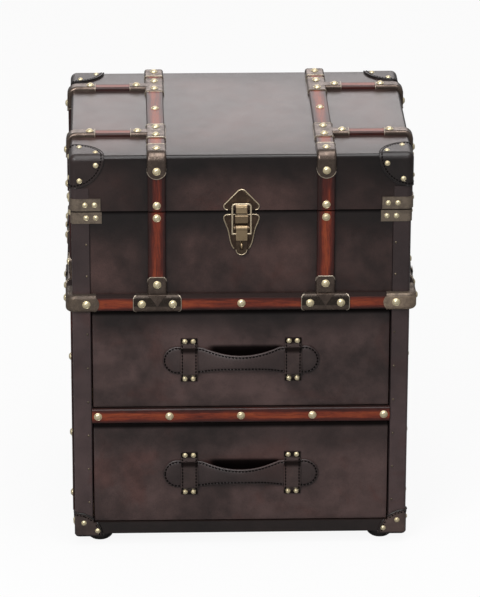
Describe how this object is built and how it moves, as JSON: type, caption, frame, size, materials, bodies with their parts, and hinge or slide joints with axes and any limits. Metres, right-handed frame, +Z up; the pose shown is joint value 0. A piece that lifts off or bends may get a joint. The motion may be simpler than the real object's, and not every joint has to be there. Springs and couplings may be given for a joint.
{
  "type": "accent chest",
  "caption": "Trunk-style chest with a lift-up lid, a draw latch and drawers with leather handles, strapped with wood slats and brass brackets.",
  "frame": {"origin": "on the floor, under the middle of the chest's bounding box", "axes": "+X to the right seen from the front, -Y out of the drawer fronts, +Z up"},
  "size_m": [0.4824, 0.382, 0.5806],
  "materials": {
    "leather": "glossy waxed espresso leather with worn reddish patches",
    "leather_trim": "glossy dark leather with stitched edges",
    "mahogany": "red-brown lacquered wood with dark grain",
    "board": "plain plywood",
    "lining": "dark brown woven lining",
    "bracket": "antique brass, dark in the hollows and rubbed bright on the edges",
    "nail": "pale antique brass domes",
    "latch": "antique brass with rubbed edges",
    "foot": "black lacquered turned wood"
  },
  "bodies": {
    "base": {"cabinet_sides": "board", "back_panel": "board", "base_board": "board", "front_frame": "board", "drawer_runners": "board", "trunk_floor": "board", "trunk_front_wall": "board", "trunk_lining": "lining", "cabinet_leather": "leather", "trunk_leather": "leather", "corner_bindings": "leather_trim", "middle_band": "mahogany", "divider_band": "mahogany", "band_caps": "bracket", "band_tees": "bracket", "trunk_front_slats": "mahogany", "side_slats": "mahogany", "trunk_seam_plates": "bracket", "base_dome_nails": "nail", "base_small_nails": "nail", "binding_pins": "nail", "bottom_corner_caps": "leather_trim", "bun_feet": "foot", "latch_base_plate": "latch", "latch_rivet": "latch", "trunk_hinge_leaves": "bracket", "hinge_pins": "nail"},
    "lid": {"lid_top_board": "board", "lid_frame_boards": "board", "lid_leather": "leather", "lid_lining": "lining", "lid_bindings": "leather_trim", "lid_main_slats": "mahogany", "lid_cross_slats": "mahogany", "lid_edge_brackets": "bracket", "lid_tees": "bracket", "lid_side_brackets": "bracket", "lid_corner_patches": "leather_trim", "lid_seam_plates": "bracket", "lid_dome_nails": "nail", "lid_small_nails": "nail", "lid_hinge_leaves": "bracket", "latch_catch_plate": "latch"},
    "latch_lever": {"latch_lever": "latch"},
    "latch_bail": {"latch_bail": "latch"},
    "upper_drawer": {"upper_drawer_front": "board", "upper_drawer_leather": "leather", "upper_drawer_box": "board", "upper_drawer_bottom": "board", "upper_handle_loops": "leather_trim", "upper_handle_tacks": "nail"},
    "upper_handle": {"upper_handle_strap": "leather_trim"},
    "lower_drawer": {"lower_drawer_front": "board", "lower_drawer_leather": "leather", "lower_drawer_box": "board", "lower_drawer_bottom": "board", "lower_handle_loops": "leather_trim", "lower_handle_tacks": "nail"},
    "lower_handle": {"lower_handle_strap": "leather_trim"}
  },
  "joints": [
    {"name": "lid_hinge", "type": "hinge", "parent": "base", "child": "lid", "pos_m": [0, 0.18585, 0.4932], "axis": [-1, 0, 0], "range_deg": [0, 95]},
    {"name": "upper_drawer_slide", "type": "slide", "parent": "base", "child": "upper_drawer", "axis": [0, -1, 0], "range_m": [0, 0.24]},
    {"name": "lower_drawer_slide", "type": "slide", "parent": "base", "child": "lower_drawer", "axis": [0, -1, 0], "range_m": [0, 0.24]},
    {"name": "latch_lever_pivot", "type": "hinge", "parent": "base", "child": "latch_lever", "pos_m": [0, -0.18165, 0.47], "axis": [-1, 0, 0], "range_deg": [0, 120]},
    {"name": "latch_bail_pivot", "type": "hinge", "parent": "latch_lever", "child": "latch_bail", "pos_m": [0, -0.18165, 0.4616], "axis": [-1, 0, 0], "range_deg": [-150, 0]},
    {"name": "upper_handle_play", "type": "slide", "parent": "upper_drawer", "child": "upper_handle", "axis": [1, 0, 0], "range_m": [-0.004, 0.004]},
    {"name": "lower_handle_play", "type": "slide", "parent": "lower_drawer", "child": "lower_handle", "axis": [1, 0, 0], "range_m": [-0.004, 0.004]}
  ],
  "couplings": [
    {"joint": "latch_bail_pivot", "follows": "latch_lever_pivot", "ratio": -1.25}
  ]
}
